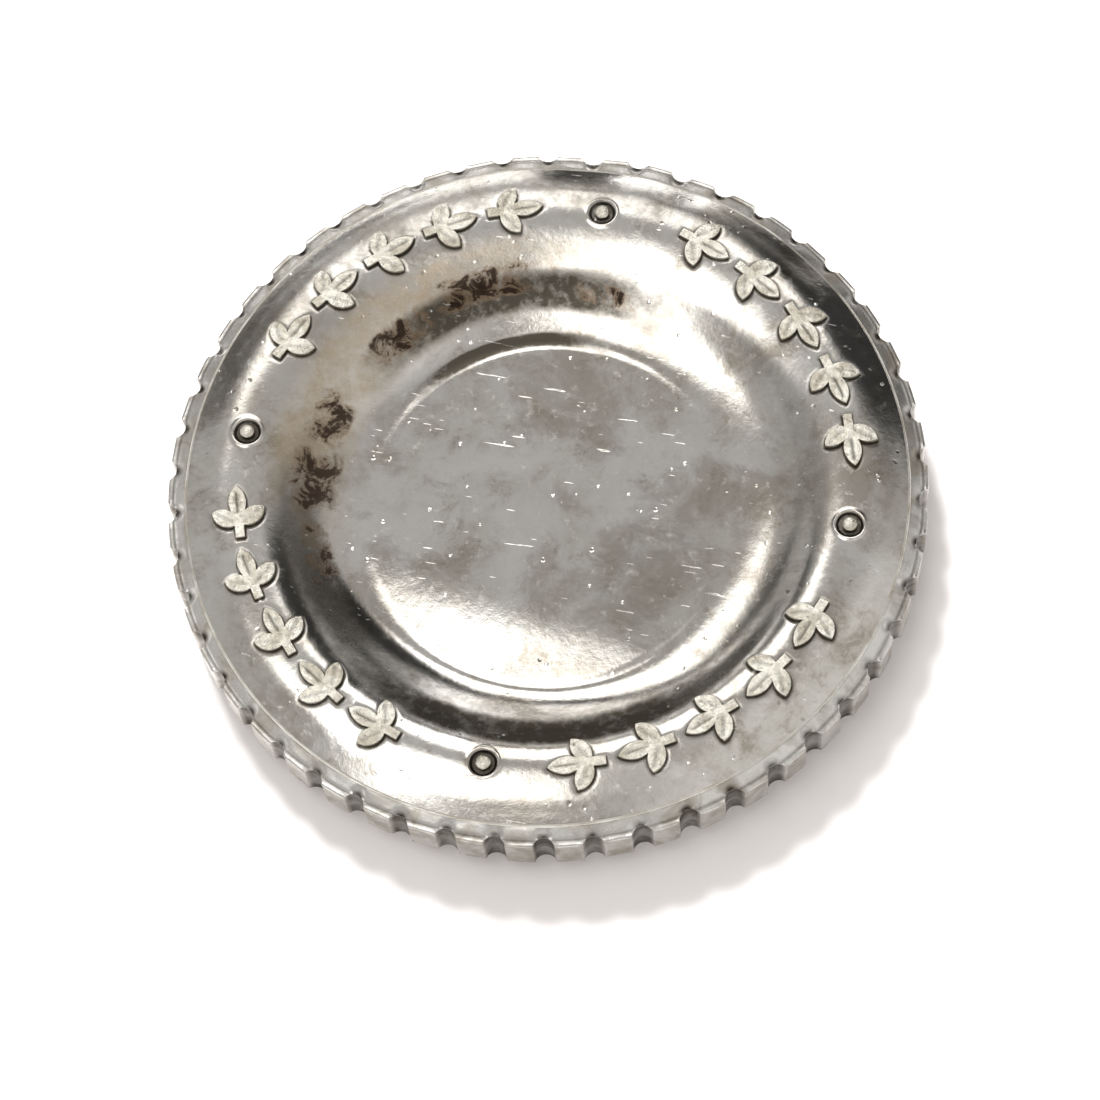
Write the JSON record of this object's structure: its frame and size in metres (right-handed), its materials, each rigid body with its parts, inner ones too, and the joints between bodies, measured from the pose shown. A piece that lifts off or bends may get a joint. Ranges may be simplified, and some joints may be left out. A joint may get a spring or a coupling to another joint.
{
  "type": "ball marker",
  "caption": "Round two-faced metal golf ball marker with a dished well, a puffed border of raised leaf figures and a fluted rim.",
  "frame": {"origin": "below the middle of the well, in the plane that the raised figures of the reverse rest on", "axes": "+Z out of the obverse along the marker's axis, +X and +Y through pellets of the obverse"},
  "size_m": [0.0254, 0.0254, 0.0031],
  "materials": {
    "sheet_silver": "polished, worn and tarnished",
    "rim_silver": "polished, dull in the flutes",
    "figure_silver": "fine grained, worn flat",
    "solder_silver": "dull"
  },
  "bodies": {
    "root": {"obverse_face": "sheet_silver", "reverse_face": "sheet_silver", "fluted_rim": "rim_silver", "well_solder": "solder_silver", "obverse_rim_solder": "solder_silver", "reverse_rim_solder": "solder_silver", "obverse_sprigs": "figure_silver", "reverse_lozenges": "figure_silver", "obverse_pellets": "figure_silver", "reverse_pellets": "figure_silver"}
  },
  "joints": []
}
